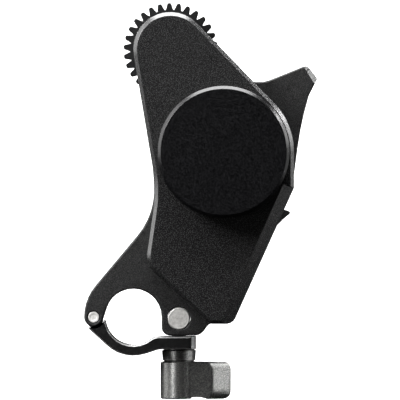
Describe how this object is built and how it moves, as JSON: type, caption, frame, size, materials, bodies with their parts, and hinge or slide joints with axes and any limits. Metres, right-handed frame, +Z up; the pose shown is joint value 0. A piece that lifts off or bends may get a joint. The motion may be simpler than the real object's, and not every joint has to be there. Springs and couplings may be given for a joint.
{
  "type": "lens focus motor",
  "caption": "Geared motor unit that drives a lens's focus ring: round motor cap on a long raised housing, toothed drive gear at the top, hinged rod clamp with a lever below.",
  "frame": {"origin": "on the rod's axis, in the middle of the clamp's depth", "axes": "-Y towards the viewer of the picture and along the rod, +Z up from the clamp to the drive gear, +X to the right"},
  "size_m": [0.063, 0.0346, 0.1073],
  "materials": {
    "black_anodised": "bead-blasted, black anodised, satin chamfers",
    "cap_black": "smoother black anodising",
    "gear_polymer": "moulded, slightly satin",
    "bright_steel": "turned, bright",
    "lever_satin": "satin dark grey anodising",
    "dark_steel": "blackened",
    "rubber_grey": "matt, moulded",
    "gear_brass": "hobbed, plain",
    "winding_copper": null,
    "core_steel": "stamped laminations",
    "magnet_nickel": "nickel plated",
    "milled_alloy": "milled, bare",
    "board_green": "solder mask"
  },
  "bodies": {
    "housing": {"main_body": "black_anodised", "front_housing": "black_anodised", "motor_cap": "cap_black", "back_cover": "black_anodised", "back_cover_screw_1": "dark_steel", "back_cover_screw_2": "dark_steel", "back_cover_screw_3": "dark_steel", "back_cover_screw_4": "dark_steel", "housing_screw_1": "dark_steel", "housing_screw_2": "dark_steel", "housing_screw_3": "dark_steel", "housing_screw_4": "dark_steel", "board_screw_1": "dark_steel", "board_screw_2": "dark_steel", "board_screw_3": "dark_steel", "motor_mount": "milled_alloy", "motor_mount_screw_1": "dark_steel", "motor_mount_screw_2": "dark_steel", "motor_mount_screw_3": "dark_steel", "motor_stator": "core_steel", "motor_windings": "winding_copper", "motor_bearing_front": "bright_steel", "motor_bearing_rear": "bright_steel", "idler_pin_a": "bright_steel", "idler_pin_b": "bright_steel", "gearbox_plate": "milled_alloy", "bearing_front": "bright_steel", "bearing_rear": "bright_steel", "jaw_pin": "bright_steel", "barrel_nut": "bright_steel", "circuit_board": "board_green", "usb_socket": "bright_steel"},
    "rotor": {"motor_rotor": "dark_steel", "rotor_magnet": "magnet_nickel", "motor_shaft": "bright_steel"},
    "idler_a": {"idler_gear_a": "gear_brass"},
    "idler_b": {"idler_gear_b": "gear_brass"},
    "drive": {"drive_gear": "gear_polymer", "gear_screw": "dark_steel", "output_gear": "gear_brass", "output_shaft": "bright_steel"},
    "jaw": {"clamp_jaw": "black_anodised"},
    "collar": {"clamp_collar": "dark_steel"},
    "lever": {"clamp_lever": "lever_satin", "clamp_screw": "dark_steel"},
    "port_flap": {"port_cover": "rubber_grey"}
  },
  "joints": [
    {"name": "motor_spin", "type": "hinge", "parent": "housing", "child": "rotor", "pos_m": [0.0244, -0.018, 0.0446], "axis": [0, 1, 0], "continuous": true},
    {"name": "idler_a_spin", "type": "hinge", "parent": "housing", "child": "idler_a", "pos_m": [0.02379, -0.0128, 0.05608], "axis": [0, 1, 0], "continuous": true},
    {"name": "idler_b_spin", "type": "hinge", "parent": "housing", "child": "idler_b", "pos_m": [0.01237, -0.0117, 0.0574], "axis": [0, 1, 0], "continuous": true},
    {"name": "drive_gear_spin", "type": "hinge", "parent": "housing", "child": "drive", "pos_m": [0.01014, -0.003, 0.07224], "axis": [0, 1, 0], "continuous": true},
    {"name": "collar_travel", "type": "slide", "parent": "housing", "child": "collar", "axis": [0, 0, -1], "range_m": [0, 0.00211]},
    {"name": "lever_turn", "type": "hinge", "parent": "collar", "child": "lever", "pos_m": [0.01235, 0, -0.0173], "axis": [0, 0, -1], "range_deg": [0, 1080]},
    {"name": "jaw_open", "type": "hinge", "parent": "housing", "child": "jaw", "pos_m": [-0.01075, 0, 0], "axis": [0, 1, 0], "range_deg": [0, 4.36]},
    {"name": "port_cover_open", "type": "hinge", "parent": "housing", "child": "port_flap", "pos_m": [0.0359, 0, 0.01906], "axis": [0, 1, 0], "range_deg": [0, 105]}
  ],
  "couplings": [
    {"joint": "idler_a_spin", "follows": "motor_spin", "ratio": -0.4375},
    {"joint": "idler_b_spin", "follows": "motor_spin", "ratio": 0.23333},
    {"joint": "drive_gear_spin", "follows": "motor_spin", "ratio": -0.23333},
    {"joint": "collar_travel", "follows": "lever_turn", "m_per_rad": 0.00011141},
    {"joint": "jaw_open", "follows": "lever_turn", "ratio": 0.0040292}
  ]
}
